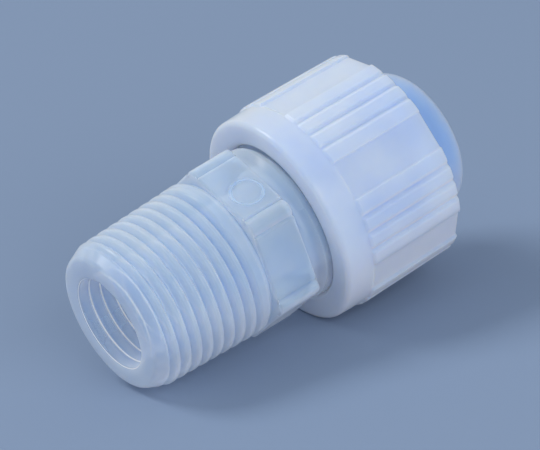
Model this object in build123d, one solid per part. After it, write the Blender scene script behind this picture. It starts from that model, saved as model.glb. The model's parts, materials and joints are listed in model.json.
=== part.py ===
from build123d import *
from math import asin, atan2, cos, degrees, radians, sin, sqrt, tan
import os

# Fluoropolymer tube fitting, a male connector: R 3/8 taper thread to 12 x 10 mm tube.
# Each piece is built along +X from the thread's tip to the tube end, about the X axis.
# The whole fitting is then laid down as it rests: on the thread's tip and one flat of the nut.

# taper thread R 3/8
gauge_diameter = 16.662
gauge_length = 6.35
thread_taper = 1 / 16
thread_length = 14.2
thread_pitch = 1.337
thread_depth = 0.856
thread_groove_share = 0.86
thread_start = 1.9
thread_run_out = 0.9
nose_length = 2.0
nose_angle = 24.0
nose_round = 0.6
flow_bore = 10.0
flow_bore_lip = 0.3

# wrench hexagon of the body
body_flats = 17.0
body_corner_round = 1.4
body_hexagon_length = 5.0
body_hexagon_edge = 0.25
body_hexagon_turn = 25.0
ring_mark_radius = 2.3
ring_mark_width = 0.35
ring_mark_height = 0.08

# straight thread under the nut, M18 x 1.5, left as plain walls at the pitch diameter
nut_thread_pitch_diameter = 17.0
nut_thread_clearance = 0.08
nut_thread_length = 10.6
neck_diameter = 16.0
neck_length = 1.2
thread_chamfer = 0.5

# chords in a quarter round, which keep it within 0.03 mm of the true arc
chords_per_round = 4

# tube and its seat
tube_diameter = 12.0
tube_clearance = 0.05
tube_insertion = 10.0
seat_angle = 20.0
seat_mouth_step = 1.05

# ferrule and gripper
seat_gap = 0.1
ferrule_bore_clearance = 0.05
ferrule_nose_wall = 0.4
ferrule_flange_wall = 1.75
ferrule_flange_length = 1.2
ferrule_flange_gap = 0.4
ferrule_back_chamfer = 0.5
gripper_wall = 1.25
gripper_length = 2.4
gripper_slot = 1.2
gripper_gap = 0.1
gripper_bevel = 0.5
gripper_tooth = 0.3

# union nut
nut_gap = 1.0
nut_length = 15.95
nut_flats = 22.4
nut_flat_width = 4.3
nut_corner_rise = 0.45
nut_draft = 1.0
collar_length = 4.4
collar_rise = 0.2
collar_taper = 3.0
nut_front_round = 1.1
nut_back_edge = 0.2
nut_mouth_chamfer = 0.6
ribs_per_corner = 4
rib_groove_width = 0.95
thrust_angle = 45.0
pocket_clearance = 0.15
tube_hole_clearance = 0.2
boss_diameter = 16.2
boss_draft = 5.0
boss_straight = 1.65
boss_round = 3.2

# stations along the axis
body_hexagon_end = thread_length + body_hexagon_length
nut_front = body_hexagon_end + nut_gap
nut_back = nut_front + nut_length
body_end = body_hexagon_end + neck_length + nut_thread_length
tube_stop = body_end - tube_insertion
flats_start = nut_front + collar_length

# radii worked out from the sizes above
socket_radius = tube_diameter / 2 + tube_clearance
mouth_radius = socket_radius + seat_mouth_step
seat_depth = (mouth_radius - socket_radius) / tan(radians(seat_angle))
male_radius = nut_thread_pitch_diameter / 2
female_radius = male_radius + nut_thread_clearance
ferrule_bore_radius = tube_diameter / 2 + ferrule_bore_clearance
tube_hole_radius = tube_diameter / 2 + tube_hole_clearance
gripper_radius = ferrule_bore_radius + gripper_wall
flat_distance = nut_flats / 2
corner_radius = flat_distance + nut_corner_rise
collar_radius = flat_distance + collar_rise
flat_half_angle = degrees(asin(nut_flat_width / 2 / corner_radius))
rib_pitch_angle = (60 - 2 * flat_half_angle) / ribs_per_corner


def thread_radius(x):
    """Crest radius of the taper thread at the station x."""
    return gauge_diameter / 2 + (x - gauge_length) * thread_taper / 2


def turned(profile):
    """Solid of revolution of a closed (station, radius) outline about the X axis."""
    return revolve(make_face(profile), Axis.X)


def ring_outline(points):
    """Closed outline through (station, radius) points."""
    return Polyline(*points, close=True)


def rounded(centre, radius, first, last, chords):
    """Points on an arc in the (station, radius) outline, from one angle to another in degrees."""
    angles = [radians(first + (last - first) * step / chords) for step in range(chords + 1)]
    return [(centre[0] + radius * cos(angle), centre[1] + radius * sin(angle)) for angle in angles]


def around(shape, angle):
    """Shape turned about the fitting's axis."""
    return Rotation(angle, 0, 0) * shape


def nose_outline():
    """Points of the thread's tip: a small round, then a long bevel up to the crests."""
    slope = tan(radians(nose_angle))
    tip_radius = thread_radius(nose_length) - nose_length * slope
    centre = (nose_round, tip_radius + nose_round * slope - nose_round / cos(radians(nose_angle)))
    return rounded(centre, nose_round, 180, 90 + nose_angle, chords_per_round)


def make_thread_groove():
    """Right-hand helical V that leaves narrow crests on the taper."""
    start_radius = thread_radius(thread_start)
    groove_length = thread_length - thread_run_out - thread_start
    path = Helix(thread_pitch, groove_length, start_radius, cone_angle=degrees(atan2(thread_taper, 2)))
    half_mouth = thread_groove_share * thread_pitch / 2
    above = 0.1
    flank = half_mouth / thread_depth
    outline = [
        (start_radius - thread_depth, 0),
        (start_radius + above, half_mouth + above * flank),
        (start_radius + above, -half_mouth - above * flank),
    ]
    groove = sweep(Plane.XZ * make_face(ring_outline(outline)), path=path, is_frenet=True)
    return Pos(thread_start, 0, 0) * Rotation(0, 90, 0) * groove


def make_body():
    run_out = [
        (0, flow_bore / 2),
        *nose_outline(),
        (nose_length, thread_radius(nose_length)),
        (thread_length, thread_radius(thread_length)),
        (thread_length, flow_bore / 2),
    ]
    thread_cone = turned(ring_outline(run_out)) - make_thread_groove()

    hexagon = Plane.YZ * RegularPolygon(body_flats / 2, 6, major_radius=False)
    hexagon = extrude(hexagon, body_hexagon_length)
    hexagon = fillet(hexagon.edges().filter_by(Axis.X), body_corner_round)
    hexagon = chamfer(hexagon.faces().filter_by(Axis.X).edges(), body_hexagon_edge)
    top_plane = Plane((body_hexagon_length / 2, 0, body_flats / 2), x_dir=(1, 0, 0), z_dir=(0, 0, 1))
    ring_mark = Circle(ring_mark_radius) - Circle(ring_mark_radius - ring_mark_width)
    hexagon += extrude(top_plane * ring_mark, ring_mark_height)
    hexagon = Pos(thread_length, 0, 0) * around(hexagon, body_hexagon_turn)

    neck_end = body_hexagon_end + neck_length
    neck_and_thread = [
        (thread_length, 0),
        (thread_length, neck_diameter / 2),
        (neck_end, neck_diameter / 2),
        (neck_end + male_radius - neck_diameter / 2, male_radius),
        (body_end - thread_chamfer, male_radius),
        (body_end, male_radius - thread_chamfer),
        (body_end, 0),
    ]
    inside = [
        (0, 0),
        (0, flow_bore / 2 + flow_bore_lip),
        (flow_bore_lip, flow_bore / 2),
        (tube_stop, flow_bore / 2),
        (tube_stop, socket_radius),
        (body_end - seat_depth, socket_radius),
        (body_end, mouth_radius),
        (body_end, 0),
    ]
    return thread_cone + hexagon + turned(ring_outline(neck_and_thread)) - turned(ring_outline(inside))


def make_ferrule():
    """Front sleeve: its cone seals in the body's mouth and its bore on the tube."""
    slope = tan(radians(seat_angle))
    flange_front = body_end + ferrule_flange_gap
    flange_back = flange_front + ferrule_flange_length
    cone_radius_at_mouth = mouth_radius - seat_gap / cos(radians(seat_angle))
    nose_radius = ferrule_bore_radius + ferrule_nose_wall
    nose = body_end - (cone_radius_at_mouth - nose_radius) / slope
    flange_radius = ferrule_bore_radius + ferrule_flange_wall
    outline = [
        (nose, ferrule_bore_radius),
        (nose, nose_radius),
        (body_end, cone_radius_at_mouth),
        (flange_front, cone_radius_at_mouth),
        (flange_front, flange_radius),
        (flange_back, flange_radius),
        (flange_back, ferrule_bore_radius + ferrule_back_chamfer),
        (flange_back - ferrule_back_chamfer, ferrule_bore_radius),
    ]
    return turned(ring_outline(outline))


def make_gripper():
    """Split ring behind the ferrule, squeezed on to the tube by the nut's cone."""
    front = body_end + ferrule_flange_gap + ferrule_flange_length + gripper_gap
    back = front + gripper_length
    outer = gripper_radius
    outline = [
        (front, ferrule_bore_radius + gripper_tooth),
        (front, outer - gripper_bevel),
        (front + gripper_bevel, outer),
        (back - gripper_bevel, outer),
        (back, outer - gripper_bevel),
        (back, ferrule_bore_radius),
        (front + gripper_length / 2, ferrule_bore_radius + gripper_tooth),
        (front + gripper_length / 2, ferrule_bore_radius),
    ]
    slot = Pos((front + back) / 2, 0, outer) * Box(2 * gripper_length, gripper_slot, 2 * outer)
    return turned(ring_outline(outline)) - slot


def drafted_cut(width):
    """Cutter of one width whose floor starts level with a flat and falls towards the tube end."""
    block = Box(2 * nut_length, width, corner_radius, align=(Align.MIN, Align.CENTER, Align.MIN))
    return Pos(flats_start, 0, flat_distance) * Rotation(0, nut_draft, 0) * block


def make_union_nut():
    slope = tan(radians(nut_draft))
    front_radius = collar_radius - collar_length * tan(radians(collar_taper))
    back_radius = corner_radius - (nut_back - flats_start) * slope
    taper = radians(collar_taper)
    front_centre = (nut_front + nut_front_round, front_radius + nut_front_round * (tan(taper) - 1 / cos(taper)))
    shell = [
        (nut_front, 0),
        *rounded(front_centre, nut_front_round, 180, 90 + collar_taper, chords_per_round),
        (flats_start, collar_radius),
        (flats_start, corner_radius),
        (nut_back, back_radius),
        (nut_back, 0),
    ]
    shell = turned(ring_outline(shell))
    ends = shell.edges().filter_by(GeomType.CIRCLE).group_by(Axis.X)
    shell = chamfer(ends[-1], nut_back_edge)

    # flats and rib grooves share one depth, and both follow the moulding draft
    flat_cut = drafted_cut(nut_flat_width)
    groove = drafted_cut(rib_groove_width)
    for corner in range(6):
        shell -= around(flat_cut, 60 * corner)
        for line in range(1, ribs_per_corner):
            from_middle = (line - ribs_per_corner / 2) * rib_pitch_angle
            shell -= around(groove, 60 * corner + 30 + from_middle)

    boss_radius = boss_diameter / 2
    boss_top_radius = boss_radius - boss_straight * tan(radians(boss_draft))
    round_centre = (nut_back + boss_straight, boss_top_radius - boss_round)
    rise = sqrt(boss_round**2 - (tube_hole_radius - round_centre[1]) ** 2)
    boss_end = round_centre[0] + rise
    last_angle = degrees(atan2(tube_hole_radius - round_centre[1], rise))
    boss = [
        (nut_back, 0),
        (nut_back, boss_radius),
        *rounded(round_centre, boss_round, 90, last_angle, chords_per_round + 2),
        (boss_end, 0),
    ]
    boss = turned(ring_outline(boss))

    # thread wall, pocket of the gripper, thrust cone and tube hole
    gripper_back = body_end + ferrule_flange_gap + ferrule_flange_length + gripper_gap + gripper_length
    pocket_radius = gripper_radius + pocket_clearance
    thread_end = body_end + ferrule_flange_gap + ferrule_flange_length + 2 * gripper_gap
    cone_start = gripper_back - gripper_bevel + gripper_gap
    cone_end = cone_start + (pocket_radius - tube_hole_radius) / tan(radians(thrust_angle))
    shoulder_end = thread_end + (female_radius - pocket_radius) / tan(radians(thrust_angle))
    inside = [
        (nut_front, 0),
        (nut_front, female_radius + nut_mouth_chamfer),
        (nut_front + nut_mouth_chamfer, female_radius),
        (thread_end, female_radius),
        (shoulder_end, pocket_radius),
        (cone_start, pocket_radius),
        (cone_end, tube_hole_radius),
        (boss_end, tube_hole_radius),
        (boss_end, 0),
    ]
    return shell + boss - turned(ring_outline(inside))


def rest_tilt():
    """Angle at which the start of the thread's crests and the rib ends beside a nut flat share one floor."""
    rib_reach = corner_radius * cos(radians(flat_half_angle))
    return degrees(atan2(rib_reach - thread_radius(nose_length), flats_start - nose_length))


def lay_down(shapes):
    """Rest the fitting on the floor, with its footprint centred on the origin."""
    tilted = {name: Rotation(0, -rest_tilt(), 0) * shape for name, shape in shapes.items()}
    boxes = [shape.bounding_box() for shape in tilted.values()]
    middle_x = (min(box.min.X for box in boxes) + max(box.max.X for box in boxes)) / 2
    floor = min(box.min.Z for box in boxes)
    return {name: Pos(-middle_x, 0, -floor) * shape for name, shape in tilted.items()}


pieces = {
    "body": make_body(),
    "union_nut": make_union_nut(),
    "ferrule": make_ferrule(),
    "gripper_ring": make_gripper(),
}
os.makedirs("parts", exist_ok=True)
for name, shape in lay_down(pieces).items():
    export_step(shape, f"parts/{name}.step")
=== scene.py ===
import json
from math import acos, cos, pi, radians, sin, sqrt, tan

import bpy
from mathutils import Matrix, Vector


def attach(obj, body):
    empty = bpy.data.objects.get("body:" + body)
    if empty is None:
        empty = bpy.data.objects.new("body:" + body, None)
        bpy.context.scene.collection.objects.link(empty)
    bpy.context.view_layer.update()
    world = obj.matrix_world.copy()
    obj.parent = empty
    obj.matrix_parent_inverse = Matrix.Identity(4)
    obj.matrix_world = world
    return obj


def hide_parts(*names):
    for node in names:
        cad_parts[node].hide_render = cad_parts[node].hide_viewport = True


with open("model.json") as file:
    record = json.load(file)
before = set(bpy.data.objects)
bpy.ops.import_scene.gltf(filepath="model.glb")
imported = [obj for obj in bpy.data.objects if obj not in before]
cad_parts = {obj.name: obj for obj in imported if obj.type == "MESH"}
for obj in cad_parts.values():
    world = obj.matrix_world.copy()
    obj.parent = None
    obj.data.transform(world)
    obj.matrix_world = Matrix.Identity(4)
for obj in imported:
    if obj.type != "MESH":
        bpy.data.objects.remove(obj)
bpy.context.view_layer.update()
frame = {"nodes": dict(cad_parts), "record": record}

mm = 0.001


def linearColour(code):
    values = [int(code[i:i + 2], 16) / 255 for i in (1, 3, 5)]
    return [v / 12.92 if v <= 0.04045 else ((v + 0.055) / 1.055) ** 2.4 for v in values] + [1.0]


def eased(share):
    share = min(1.0, max(0.0, share))
    return share * share * (3 - 2 * share)


def between(start, end, count):
    return [start + (end - start) * part / count for part in range(1, count)]


def arcAngles(end, count):
    return [radians(end) * part / count for part in range(count + 1)]


def addNode(tree, kind, inputs=None, **settings):
    # an input is either a constant or the output that it is linked to
    node = tree.nodes.new(kind)
    for key, value in settings.items():
        setattr(node, key, value)
    for socket, value in (inputs or {}).items():
        if isinstance(value, bpy.types.NodeSocket):
            tree.links.new(value, node.inputs[socket])
        else:
            node.inputs[socket].default_value = value
    return node


def worked(tree, operation, *values):
    return addNode(tree, "ShaderNodeMath", dict(enumerate(values)), operation=operation).outputs[0]


def mapped(tree, value, fromMin=0.0, fromMax=1.0, toMin=0.0, toMax=1.0, interpolation="LINEAR"):
    inputs = {"Value": value, "From Min": fromMin, "From Max": fromMax, "To Min": toMin, "To Max": toMax}
    return addNode(tree, "ShaderNodeMapRange", inputs, interpolation_type=interpolation).outputs["Result"]


def mixedColours(tree, share, first, second):
    # sockets 0, 6 and 7 of this node are the factor and the two colours, and output 2 is their mix
    return addNode(tree, "ShaderNodeMix", {0: share, 6: first, 7: second}, data_type="RGBA").outputs[2]


def noise(tree, size, detail):
    place = addNode(tree, "ShaderNodeTexCoord").outputs["Object"]
    inputs = {"Vector": place, "Scale": 1 / (size * mm), "Detail": detail}
    return addNode(tree, "ShaderNodeTexNoise", inputs).outputs["Fac"]


def mouldedPfa(name, look):
    # natural PFA from a mould: milky, so light goes a few millimetres in and comes back bluish,
    # see-through where it is looked at squarely and hazier at a grazing angle, and satin at the surface
    material = bpy.data.materials.new(name)
    material.use_nodes = True
    tree = material.node_tree
    tree.nodes.clear()
    colours = {key: linearColour(value) for key, value in look.items() if key.endswith("Colour")}

    # cloudy milk, then the clear walls
    clouds = noise(tree, look["cloudSize"], look["cloudDetail"])
    cloudShare = mapped(tree, clouds, *look["cloudReach"])
    milk = mixedColours(tree, cloudShare, colours["deepColour"], colours["milkColour"])
    clear = addNode(tree, "ShaderNodeAttribute", attribute_name="clearShare").outputs["Fac"]
    colour = mixedColours(tree, clear, milk, colours["clearColour"])

    # painted light: the underside is painted a little warmer, for light that has come through from above
    normal = addNode(tree, "ShaderNodeNewGeometry").outputs["Normal"]
    upward = addNode(tree, "ShaderNodeSeparateXYZ", {0: normal}).outputs["Z"]
    under = mapped(tree, upward, *look["paintedUndersideReach"], toMax=look["paintedUndersideShare"])
    colour = mixedColours(tree, under, colour, colours["paintedUndersideColour"])

    # painted highlights: in the clear bore the thread's turns show as bright rings, painted here at the
    # thread's pitch for the light that comes through them
    turns = addNode(tree, "ShaderNodeAttribute", attribute_name="threadTurns").outputs["Fac"]
    fromRing = worked(tree, "PINGPONG", turns, 0.5)
    ring = mapped(tree, fromRing, *look["ringReach"], 1.0, 0.0, "SMOOTHSTEP")
    inBore = worked(tree, "GREATER_THAN", clear, look["ringClear"])
    ringHighlightAmount = worked(tree, "MULTIPLY", worked(tree, "MULTIPLY", ring, inBore), look["ringHighlightStrength"])
    colour = mixedColours(tree, ringHighlightAmount, colour, colours["paintedRingHighlightColour"])

    # painted sheen: paler towards a grazing angle; the milky wall also grows hazier there
    grazing = addNode(tree, "ShaderNodeLayerWeight", {"Blend": look["edgeBlend"]}).outputs["Facing"]
    edge = worked(tree, "MULTIPLY", grazing, look["paintedSheenShare"])
    colour = mixedColours(tree, edge, colour, colours["paintedSheenColour"])
    squareHaze = mapped(tree, clear, toMin=look["haze"][0], toMax=look["clearHaze"])
    haze = mapped(tree, grazing, toMin=squareHaze, toMax=look["haze"][1])

    # faint unevenness of the moulded surface
    grain = noise(tree, look["grainSize"], look["grainDetail"])
    bumpInputs = {"Height": grain, "Strength": look["grainStrength"], "Distance": look["grainHeight"] * mm}
    bump = addNode(tree, "ShaderNodeBump", bumpInputs).outputs["Normal"]
    polish = mapped(tree, clouds, *look["polishReach"], *look["roughness"])

    shader = addNode(tree, "ShaderNodeBsdfPrincipled", {
        "Base Color": colour,
        "Roughness": polish,
        "Normal": bump,
        # the painted ring highlights are also made solid
        "Alpha": worked(tree, "MAXIMUM", haze, ringHighlightAmount),
        "IOR": look["refraction"],
        "Subsurface Weight": 1.0,
        "Subsurface Radius": look["scatter"],
        "Subsurface Scale": look["scatterDistance"] * mm,
    })
    addNode(tree, "ShaderNodeOutputMaterial", {"Surface": shader.outputs[0]})
    return material


# sizes and distances are millimetres; haze is how solid the wall looks, squarely and at a grazing angle;
# each reach is where a blend starts and ends
bodyLook = {
    # the pale colour at a grazing angle is a painted sheen
    "deepColour": "#b4d2f5", "milkColour": "#d0e3fa", "paintedSheenColour": "#fbfdff", "clearColour": "#b7cdf0",
    # the underside colour and its share paint a warmer tint on each piece's underside, for light come through
    # from above
    "paintedUndersideColour": "#ecd9d2", "paintedUndersideShare": 0.45, "edgeBlend": 0.3, "paintedSheenShare": 0.8,
    "paintedUndersideReach": (0.05, -0.75), "cloudSize": 8.0, "cloudDetail": 3.0, "cloudReach": (0.3, 0.7),
    "grainSize": 1.2, "grainDetail": 2.0, "grainStrength": 0.3, "grainHeight": 0.01,
    "polishReach": (0.35, 0.65), "roughness": (0.14, 0.25), "refraction": 1.35,
    "scatter": (1.0, 0.92, 0.84), "scatterDistance": 2.5,
    "haze": (0.46, 0.95), "clearHaze": 0.1,
    # the ring colour paints bright highlights at the thread's turns inside the clear bore
    "paintedRingHighlightColour": "#fffaf0", "ringHighlightStrength": 0.9, "ringReach": (0.03, 0.12), "ringClear": 0.9,
}
nutLook = dict(
    bodyLook, deepColour="#bdd1f4", milkColour="#d5e2f8", clearColour="#86b4ee", paintedUndersideShare=0.4,
    haze=(0.76, 0.98), clearHaze=0.45, ringHighlightStrength=0.0, scatter=(1.0, 0.87, 0.74),
)
ringLook = dict(bodyLook, deepColour="#b4cbee", milkColour="#cfdff6", haze=(0.6, 0.95))
markLook = dict(bodyLook, scatterDistance=0.1, paintedSheenShare=0.1, haze=(0.25, 0.5), ringHighlightStrength=0.0)
bodyMaterial = mouldedPfa("pfaMouldedBody", bodyLook)
nutMaterial = mouldedPfa("pfaMouldedNut", nutLook)
ringMaterial = mouldedPfa("pfaMouldedRing", ringLook)
markMaterial = mouldedPfa("pfaMouldedMark", markLook)
print("materials made")


body = {
    "gaugeDiameter": 16.662, "gaugeLength": 6.35, "taper": 1 / 16,
    "pitch": 1.337, "grooveStart": 1.9, "threadEnd": 13.1, "threadFade": 0.7,
    "reliefGap": 0.35, "reliefDrop": 0.12, "reliefRows": 8,
    "noseLength": 2.0, "noseAngle": 24.0, "noseRound": 0.6, "lipRound": 0.3, "flowBore": 10.0,
    "hexStart": 14.2, "hexEnd": 19.2, "hexFlats": 17.0, "hexCornerRound": 1.0,
    "hexEdge": 0.25, "hexFoot": 0.05, "hexTurn": 25.0,
    "neckDiameter": 16.0, "neckFillet": 0.15, "filletBend": (0.04, 0.05), "neckEnd": 20.4,
    "maleDiameter": 17.0, "maleChamfer": 0.5, "maleFade": 0.8, "maleRowGap": 0.1, "bodyEnd": 31.0,
    "tubeStop": 21.0, "socketRadius": 6.05, "mouthRadius": 7.1, "seatAngle": 20.0,
    "columns": 240, "rowsPerTurn": 14, "lipRows": 6, "noseRows": 8, "hexRows": 8, "hexEdgeRows": 4,
    "boreRows": 40,
    "clearTip": 3.0, "clearTipShare": 0.35, "ringsEnd": 11.0, "clearBeyondRings": 0.85,
}
taperThread = {
    "Pitch": body["pitch"], "Depth": 0.76, "Start": body["grooveStart"],
    "Crest Share": 0.28, "Root Share": 0.0, "Share Name": "taperShare", "Material": bodyMaterial,
}
nutThread = {
    "Pitch": 1.5, "Depth": 0.62, "Start": body["neckEnd"] + 0.7,
    "Crest Share": 0.2, "Root Share": 0.1, "Share Name": "nutShare", "Material": bodyMaterial,
}

# The fitting's own axis lies a little nose-down. Shapes are made along +X from the thread's tip,
# in millimetres, and laid on that axis at the end. The flow bore's mount is at the bore's middle.
record = frame["record"]
mounts = {mount["name"]: mount for mount in record["mounts"]}
boreMiddle = (body["lipRound"] + body["tubeStop"]) / 2
fittingAxis = Vector(record["behaviour"]["joints"][0]["axis"]).normalized()
acrossAxis = Vector((0, 1, 0))
turnedFrame = Matrix((fittingAxis, acrossAxis, fittingAxis.cross(acrossAxis))).transposed().to_4x4()
tipPoint = Vector(mounts["flow_bore"]["pos_m"]) - fittingAxis * boreMiddle * mm
placement = Matrix.Translation(tipPoint) @ turnedFrame @ Matrix.Scale(mm, 4)
sharpAngle = 50  # degrees: edges that turn by more than this stay creased
cornerAngle = 30  # degrees from the middle of a hexagon's flat to its corner


def ringGrid(name, rows, radiusAt, columns):
    # a closed skin round the axis: one ring of points for each row, and the last row joins the first
    points, faces = [], []
    for row, (x, radius, inset) in enumerate(rows):
        start, after = row * columns, (row + 1) % len(rows) * columns
        for column in range(columns):
            angle = 360 * (column + 0.5) / columns
            r = radiusAt(x, angle, inset) if radius is None else radius
            points.append((x, -r * sin(radians(angle)), r * cos(radians(angle))))
            beside = (column + 1) % columns
            faces.append((start + column, start + beside, after + beside, after + column))
    mesh = bpy.data.meshes.new(name)
    mesh.from_pydata(points, [], faces)
    return mesh


def setShares(mesh, name, shares, columns):
    made = mesh.attributes.new(name, "FLOAT", "POINT")
    made.data.foreach_set("value", [share for share in shares for column in range(columns)])


def layDown(piece):
    piece.data.transform(placement)
    piece.data.set_sharp_from_angle(angle=radians(sharpAngle))
    piece.data.update()
    return piece


def finishedPiece(name, mesh, material):
    mesh.materials.append(material)
    mesh.shade_smooth()
    piece = bpy.data.objects.new(name, mesh)
    bpy.context.scene.collection.objects.link(piece)
    return layDown(piece)


def coneRadius(x):
    return body["gaugeDiameter"] / 2 + (x - body["gaugeLength"]) * body["taper"] / 2


def hexRadius(x, angle, inset):
    flat = body["hexFlats"] / 2 - inset
    corner = body["hexCornerRound"] - inset
    centre = (flat - corner) / cos(radians(cornerAngle))
    turned = (angle - body["hexTurn"] + cornerAngle) % (2 * cornerAngle) - cornerAngle
    straight = flat / cos(radians(turned))
    fromCorner = radians(cornerAngle - abs(turned))
    offset = centre * sin(fromCorner)
    if offset >= corner:
        return straight
    return min(straight, centre * cos(fromCorner) + sqrt(corner**2 - offset**2))


def bodyRows():
    # each row: station, radius or None for the hexagon, the hexagon's inset, and the shares of the
    # two threads' depths
    rows = []

    def plain(x, radius, taperShare=0.0, nutShare=0.0):
        rows.append((x, radius, 0.0, taperShare, nutShare))

    def hexagon(x, inset):
        rows.append((x, None, inset, 0.0, 0.0))

    # mouth and nose
    noseAngle = radians(body["noseAngle"])
    slope = tan(noseAngle)
    tip = coneRadius(body["noseLength"]) - body["noseLength"] * slope
    noseRound = body["noseRound"]
    noseCentre = tip + noseRound * slope - noseRound / cos(noseAngle)
    bore = body["flowBore"] / 2
    lip = body["lipRound"]
    for angle in arcAngles(90, body["lipRows"]):
        plain(lip - lip * sin(angle), bore + lip - lip * cos(angle))
    plain(0.0, (bore + lip + noseCentre) / 2)
    for angle in arcAngles(90 - body["noseAngle"], body["noseRows"]):
        plain(noseRound - noseRound * cos(angle), noseCentre + noseRound * sin(angle))

    # taper thread, then the relief that falls to the hexagon's front face
    step = body["pitch"] / body["rowsPerTurn"]
    x = noseRound + step
    reliefStart = body["threadEnd"] + body["reliefGap"]
    while x < reliefStart:
        rise = (x - body["grooveStart"] + body["pitch"] / 2) / body["threadFade"]
        fall = (body["threadEnd"] - x) / body["threadFade"]
        plain(x, min(coneRadius(x), tip + x * slope), eased(min(rise, fall)))
        x += step
    reliefRadius = body["hexFlats"] / 2 - body["hexEdge"] - body["reliefDrop"]
    for part in range(body["reliefRows"] + 1):
        share = part / body["reliefRows"]
        fallen = eased(share)
        x = reliefStart + share * (body["hexStart"] - reliefStart)
        plain(x, coneRadius(reliefStart) * (1 - fallen) + reliefRadius * fallen)

    edge = body["hexEdge"]
    hexagon(body["hexStart"], edge + body["hexFoot"])
    for angle in arcAngles(90, body["hexEdgeRows"]):
        hexagon(body["hexStart"] + edge - edge * cos(angle), edge - edge * sin(angle))
    for x in between(body["hexStart"] + edge, body["hexEnd"] - edge, body["hexRows"]):
        hexagon(x, 0.0)
    for angle in arcAngles(90, body["hexEdgeRows"]):
        hexagon(body["hexEnd"] - edge + edge * sin(angle), edge - edge * cos(angle))

    # neck with a small fillet, then the male wall that carries the nut's thread
    neck = body["neckDiameter"] / 2
    fillet = body["neckFillet"]
    plain(body["hexEnd"], neck + fillet)
    plain(body["hexEnd"] + body["filletBend"][0], neck + body["filletBend"][1])
    plain(body["hexEnd"] + fillet, neck)
    plain(body["neckEnd"], neck)
    male = body["maleDiameter"] / 2
    maleStart = body["neckEnd"] + male - neck
    maleStop = body["bodyEnd"] - body["maleChamfer"]
    plain(maleStart, male)
    x = maleStart + nutThread["Pitch"] / body["rowsPerTurn"]
    while x < maleStop - body["maleRowGap"]:
        plain(x, male, nutShare=eased(min(x - maleStart, maleStop - x) / body["maleFade"]))
        x += nutThread["Pitch"] / body["rowsPerTurn"]
    plain(maleStop, male)
    plain(body["bodyEnd"], male - body["maleChamfer"])

    # seat, tube socket and flow bore
    plain(body["bodyEnd"], body["mouthRadius"])
    seatDepth = (body["mouthRadius"] - body["socketRadius"]) / tan(radians(body["seatAngle"]))
    plain(body["bodyEnd"] - seatDepth, body["socketRadius"])
    plain(body["tubeStop"], body["socketRadius"])
    plain(body["tubeStop"], bore)
    for x in between(body["tubeStop"], lip, body["boreRows"]):
        plain(x, bore)
    return rows


def clearAt(x, radius):
    # the polished core pin leaves the bore clear, and the thin wall at the tip is clearer than the rest
    if radius is not None and radius < (body["flowBore"] + body["lipRound"]) / 2:
        return 1.0 if x < body["ringsEnd"] else body["clearBeyondRings"]
    return body["clearTipShare"] * eased((body["clearTip"] - x) / body["clearTip"])


def bodyBlank():
    rows = bodyRows()
    mesh = ringGrid("bodyBlank", [row[:3] for row in rows], hexRadius, body["columns"])
    setShares(mesh, "taperShare", [row[3] for row in rows], body["columns"])
    setShares(mesh, "nutShare", [row[4] for row in rows], body["columns"])
    setShares(mesh, "clearShare", [clearAt(*row[:2]) for row in rows], body["columns"])
    setShares(mesh, "threadTurns", [row[0] / body["pitch"] for row in rows], body["columns"])
    return mesh


def threadTree():
    # cuts a right-hand helix into a turned blank: every point moves towards the axis by the thread's
    # depth, times how far it is from the nearest crest, times its own share
    tree = bpy.data.node_groups.new("cutThread", "GeometryNodeTree")
    tree.interface.new_socket("Geometry", in_out="INPUT", socket_type="NodeSocketGeometry")
    for socket in ("Pitch", "Depth", "Start", "Crest Share", "Root Share"):
        tree.interface.new_socket(socket, in_out="INPUT", socket_type="NodeSocketFloat")
    tree.interface.new_socket("Share Name", in_out="INPUT", socket_type="NodeSocketString")
    tree.interface.new_socket("Material", in_out="INPUT", socket_type="NodeSocketMaterial")
    tree.interface.new_socket("Geometry", in_out="OUTPUT", socket_type="NodeSocketGeometry")
    given = addNode(tree, "NodeGroupInput").outputs

    # turns along the helix, and the distance from the nearest root as a share of the pitch
    position = addNode(tree, "GeometryNodeInputPosition").outputs[0]
    parts = addNode(tree, "ShaderNodeSeparateXYZ", {0: position}).outputs
    turn = worked(tree, "ARCTAN2", worked(tree, "MULTIPLY", parts["Y"], -1.0), parts["Z"])
    along = worked(tree, "DIVIDE", worked(tree, "SUBTRACT", parts["X"], given["Start"]), given["Pitch"])
    wound = worked(tree, "SUBTRACT", worked(tree, "ADD", along, 0.5), worked(tree, "DIVIDE", turn, 2 * pi))
    fromRoot = worked(tree, "PINGPONG", wound, 0.5)
    rootHalf = worked(tree, "MULTIPLY", given["Root Share"], 0.5)
    crestHalf = worked(tree, "MULTIPLY_ADD", given["Crest Share"], -0.5, 0.5)
    flank = mapped(tree, fromRoot, rootHalf, crestHalf, 1.0, 0.0, "SMOOTHSTEP")

    named = addNode(tree, "GeometryNodeInputNamedAttribute", {"Name": given["Share Name"]}, data_type="FLOAT")
    cut = worked(tree, "MULTIPLY", flank, named.outputs["Attribute"])
    inward = worked(tree, "MULTIPLY", worked(tree, "MULTIPLY", cut, given["Depth"]), -1.0)
    radial = addNode(tree, "ShaderNodeCombineXYZ", {"Y": parts["Y"], "Z": parts["Z"]}).outputs[0]
    outward = addNode(tree, "ShaderNodeVectorMath", {0: radial}, operation="NORMALIZE").outputs[0]
    offsetInputs = {0: outward, "Scale": inward}
    offset = addNode(tree, "ShaderNodeVectorMath", offsetInputs, operation="SCALE").outputs[0]
    moved = addNode(tree, "GeometryNodeSetPosition", {"Geometry": given["Geometry"], "Offset": offset})
    smooth = addNode(tree, "GeometryNodeSetShadeSmooth", {0: moved.outputs[0]})
    real = addNode(tree, "GeometryNodeRealizeInstances", {0: smooth.outputs[0]})
    finishedInputs = {"Geometry": real.outputs[0], "Material": given["Material"]}
    finished = addNode(tree, "GeometryNodeSetMaterial", finishedInputs)
    addNode(tree, "NodeGroupOutput", {0: finished.outputs[0]})
    return tree


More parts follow.
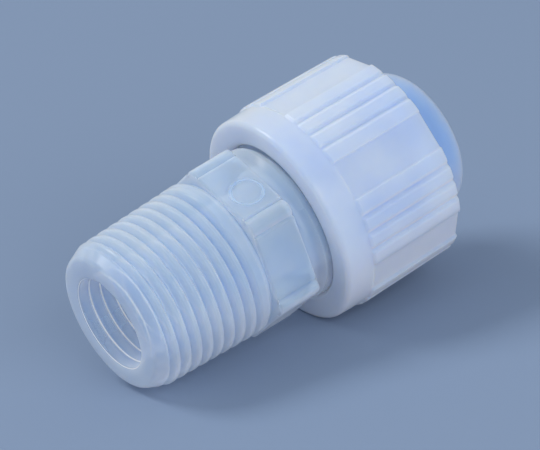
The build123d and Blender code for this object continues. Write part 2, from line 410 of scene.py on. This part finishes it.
def plainMesh(name, source, tree, runs):
    # runs a node tree over a mesh, once for each set of values, and gives the result as a plain object
    holder = bpy.data.objects.new(name + "Source", source)
    bpy.context.scene.collection.objects.link(holder)
    for values in runs:
        modifier = holder.modifiers.new("nodes", "NODES")
        modifier.node_group = tree
        for item in tree.interface.items_tree:
            if item.in_out == "INPUT" and item.name in values:
                modifier[item.identifier] = values[item.name]
    bpy.context.view_layer.update()
    evaluated = holder.evaluated_get(bpy.context.evaluated_depsgraph_get())
    mesh = bpy.data.meshes.new_from_object(evaluated)
    for modifier in list(holder.modifiers):
        holder.modifiers.remove(modifier)
    bpy.data.objects.remove(holder)
    mesh.name = name
    made = bpy.data.objects.new(name, mesh)
    bpy.context.scene.collection.objects.link(made)
    return made


threadedBody = plainMesh("threaded_body", bodyBlank(), threadTree(), [taperThread, nutThread])
layDown(threadedBody)
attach(threadedBody, "fitting_body")
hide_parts("body")
print("body with its two threads made", len(threadedBody.data.polygons), "faces")


mark = {
    "x": 16.9, "shift": 0.9, "radius": 1.65, "halfWidth": 0.18, "height": 0.05, "around": 72, "across": 10,
}


def ringMark():
    # plain raised ring on one flat of the hexagon, half of its section below the surface
    turned = radians(body["hexTurn"])
    up = Vector((0, -sin(turned), cos(turned)))
    beside = Vector((0, cos(turned), sin(turned)))
    middle = Vector((mark["x"], 0, 0)) + up * body["hexFlats"] / 2 - beside * mark["shift"]
    across = mark["across"]
    points, faces = [], []
    for one in range(mark["around"]):
        angle = 2 * pi * one / mark["around"]
        outward = Vector((1, 0, 0)) * cos(angle) + beside * sin(angle)
        start, after = one * across, (one + 1) % mark["around"] * across
        for two in range(across):
            section = 2 * pi * two / across
            reach = mark["radius"] + mark["halfWidth"] * cos(section)
            points.append(middle + outward * reach + up * mark["height"] * sin(section))
            further = (two + 1) % across
            faces.append((start + two, after + two, after + further, start + further))
    mesh = bpy.data.meshes.new("plain_ring_mark")
    mesh.from_pydata(points, [], faces)
    return finishedPiece("plain_ring_mark", mesh, markMaterial)


ringMarkPiece = ringMark()
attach(ringMarkPiece, "fitting_body")
print("ring mark made")


nut = {
    "front": 21.45, "frontRound": 0.55, "frontStep": 0.1, "collarRadius": 11.4, "collarTaper": 1.5,
    "flatsStart": 24.6, "flatsBlend": 0.45, "flatDistance": 11.2, "flatHalfAngle": 10.635, "flatEdge": 0.9,
    "cornerRadius": 11.65, "draft": 1.0, "back": 36.15, "backEdge": 0.3,
    "ribPitch": 9.683, "grooveWidth": 0.95, "grooveDepth": 0.26,
    "mouthRadius": 8.58, "mouthChamfer": 0.35, "threadEnd": 32.8,
    "pocketRadius": 7.45, "pocketEnd": 34.7, "holeRadius": 6.2,
    "bossRadius": 8.1, "bossFillet": 0.25, "bossStraight": 1.65, "bossDraft": 5.0, "bossRound": 3.2,
    "bossClearing": 0.5, "columns": 540, "frontRows": 8, "collarRows": 8, "blendRows": 8, "flatRows": 16,
    "backRows": 5, "bossFootRows": 4, "bossWallRows": 5, "bossRoundRows": 12, "holeRows": 6, "threadRows": 16,
}


def nutRadius(x, angle, inset):
    # flats and ribbed corners rise out of a round collar; grooves between the ribs are soft valleys
    fall = max(0.0, x - nut["flatsStart"]) * tan(radians(nut["draft"]))
    collarFall = max(0.0, nut["flatsStart"] - x) * tan(radians(nut["collarTaper"]))
    collar = nut["collarRadius"] - collarFall
    fromFlat = abs((angle + cornerAngle) % (2 * cornerAngle) - cornerAngle)
    fromCorner = cornerAngle - fromFlat
    rim = nut["cornerRadius"] - fall
    beside = radians(min(fromCorner, abs(fromCorner - nut["ribPitch"]))) * rim
    valley = 0.5 + 0.5 * cos(pi * min(1.0, 2 * beside / nut["grooveWidth"]))
    ribbed = rim - nut["grooveDepth"] * valley
    flat = (nut["flatDistance"] - fall) / cos(radians(fromFlat))
    past = eased((fromFlat - nut["flatHalfAngle"] + nut["flatEdge"] / 2) / nut["flatEdge"])
    shaped = flat + (ribbed - flat) * past
    begun = eased((x - nut["flatsStart"]) / nut["flatsBlend"])
    return collar + (shaped - collar) * begun - inset


def nutRows():
    # each row: station, radius or None for the ribbed outside, and the outside's inset
    rows = []

    def plain(x, radius):
        rows.append((x, radius, 0.0))

    def shaped(x, inset=0.0):
        rows.append((x, None, inset))

    # mouth, front face and rounded front edge
    front, chamfer, mouth = nut["front"], nut["mouthChamfer"], nut["mouthRadius"]
    edge = nut["frontRound"]
    plain(front + chamfer, mouth)
    plain(front + chamfer / 2, mouth + chamfer / 2)
    plain(front, mouth + chamfer)
    plain(front, mouth + chamfer + nut["frontStep"])
    for angle in arcAngles(90, nut["frontRows"]):
        shaped(front + edge - edge * cos(angle), edge - edge * sin(angle))

    # collar, flats with ribbed corners, and rounded back edge
    for x in between(front + edge, nut["flatsStart"], nut["collarRows"]):
        shaped(x)
    for part in range(nut["blendRows"] + 1):
        shaped(nut["flatsStart"] + nut["flatsBlend"] * part / nut["blendRows"])
    back, backEdge = nut["back"], nut["backEdge"]
    for x in between(nut["flatsStart"] + nut["flatsBlend"], back - backEdge, nut["flatRows"]):
        shaped(x)
    for angle in arcAngles(90, nut["backRows"]):
        shaped(back - backEdge + backEdge * sin(angle), backEdge - backEdge * cos(angle))

    # domed boss
    fillet = nut["bossFillet"]
    for angle in arcAngles(90, nut["bossFootRows"]):
        plain(back + fillet - fillet * cos(angle), nut["bossRadius"] + fillet - fillet * sin(angle))
    roundStart, bossRound = back + nut["bossStraight"], nut["bossRound"]
    topRadius = nut["bossRadius"] - nut["bossStraight"] * tan(radians(nut["bossDraft"]))
    wallStations = between(back + fillet, roundStart, nut["bossWallRows"])
    wallRadii = between(nut["bossRadius"], topRadius, nut["bossWallRows"])
    for x, radius in zip(wallStations, wallRadii):
        plain(x, radius)
    lastAngle = acos((nut["holeRadius"] - topRadius + bossRound) / bossRound)
    for part in range(nut["bossRoundRows"] + 1):
        angle = lastAngle * part / nut["bossRoundRows"]
        plain(roundStart + bossRound * sin(angle), topRadius - bossRound + bossRound * cos(angle))

    # tube hole, pocket of the gripper ring and plain thread wall
    holeStart = nut["pocketEnd"] + nut["pocketRadius"] - nut["holeRadius"]
    for x in between(rows[-1][0], holeStart, nut["holeRows"]):
        plain(x, nut["holeRadius"])
    plain(holeStart, nut["holeRadius"])
    plain(nut["pocketEnd"], nut["pocketRadius"])
    plain(nut["threadEnd"] + mouth - nut["pocketRadius"], nut["pocketRadius"])
    plain(nut["threadEnd"], mouth)
    for x in between(nut["threadEnd"], front + chamfer, nut["threadRows"]):
        plain(x, mouth)
    return rows


def ribbedNut():
    # the boss is thin, so it is clearer and bluer than the rest of the nut
    rows = nutRows()
    mesh = ringGrid("ribbed_nut", rows, nutRadius, nut["columns"])
    clearShares = [eased((row[0] - nut["back"]) / nut["bossClearing"]) for row in rows]
    setShares(mesh, "clearShare", clearShares, nut["columns"])
    return finishedPiece("ribbed_nut", mesh, nutMaterial)


nutPiece = ribbedNut()
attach(nutPiece, "nut")
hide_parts("union_nut")
print("ribbed nut made", len(nutPiece.data.polygons), "faces")


# the ferrule and the gripper ring keep their solids
for nodeName in ("ferrule", "gripper_ring"):
    solid = frame["nodes"][nodeName]
    solid.data.materials.clear()
    solid.data.materials.append(ringMaterial)
print("rings dressed")


stage = {
    "floorColour": "#8093ae", "floorRoughness": 0.9, "floorSize": 3.0,
    "roomColour": "#dfe6f0", "roomStrength": 0.58,
    "keyPower": 2.9, "keySize": 0.32, "keyPlace": (-0.32, 0.38, 0.62),
    "fillPower": 4.1, "fillSize": 0.7, "fillPlace": (-0.05, -0.78, 0.32),
}


def plainFloor():
    material = bpy.data.materials.new("matteBackdropPaper")  # plain uncoated paper: no gloss
    material.use_nodes = True
    shader = material.node_tree.nodes["Principled BSDF"]
    shader.inputs["Base Color"].default_value = linearColour(stage["floorColour"])
    shader.inputs["Roughness"].default_value = stage["floorRoughness"]
    half = stage["floorSize"] / 2
    corners = [(-half, -half, 0), (half, -half, 0), (half, half, 0), (-half, half, 0)]
    mesh = bpy.data.meshes.new("floor")
    mesh.from_pydata(corners, [], [(0, 1, 2, 3)])
    mesh.materials.append(material)
    made = bpy.data.objects.new("floor", mesh)
    bpy.context.scene.collection.objects.link(made)
    return made


def softLamp(name, place, size, power):
    lamp = bpy.data.lights.new(name, "AREA")
    lamp.shape = "DISK"
    lamp.size = size
    lamp.energy = power
    holder = bpy.data.objects.new(name, lamp)
    holder.location = place
    holder.rotation_euler = (-Vector(place)).to_track_quat("-Z", "Y").to_euler()
    bpy.context.scene.collection.objects.link(holder)


floor = plainFloor()
softLamp("keyLamp", stage["keyPlace"], stage["keySize"], stage["keyPower"])
softLamp("fillLamp", stage["fillPlace"], stage["fillSize"], stage["fillPower"])
room = bpy.data.worlds.new("room")
room.use_nodes = True
roomLight = room.node_tree.nodes["Background"].inputs
roomLight["Color"].default_value = linearColour(stage["roomColour"])
roomLight["Strength"].default_value = stage["roomStrength"]
bpy.context.scene.world = room


view = {
    "aim": (0.00017, -0.00015, 0.01117), "distance": 0.50435,
    "azimuth": 31.11, "elevation": 23.52, "roll": -9.85, "lens": 333.3, "sensor": 36, "nearest": 0.01,
}


def addCamera():
    around, above, rolled = (radians(view[key]) for key in ("azimuth", "elevation", "roll"))
    forward = Vector((sin(around) * cos(above), cos(around) * cos(above), -sin(above)))
    levelRight = forward.cross(Vector((0, 0, 1))).normalized()
    levelUp = levelRight.cross(forward)
    cameraUp = levelUp * cos(rolled) - levelRight * sin(rolled)
    turned = Matrix((forward.cross(cameraUp), cameraUp, -forward)).transposed().to_4x4()
    data = bpy.data.cameras.new("camera")
    data.lens = view["lens"]
    data.sensor_width = view["sensor"]
    data.clip_start = view["nearest"]
    camera = bpy.data.objects.new("camera", data)
    camera.matrix_world = Matrix.Translation(Vector(view["aim"]) - forward * view["distance"]) @ turned
    bpy.context.scene.collection.objects.link(camera)
    bpy.context.scene.camera = camera


addCamera()
bpy.context.scene.view_settings.view_transform = "Standard"
print("floor, light and camera set")
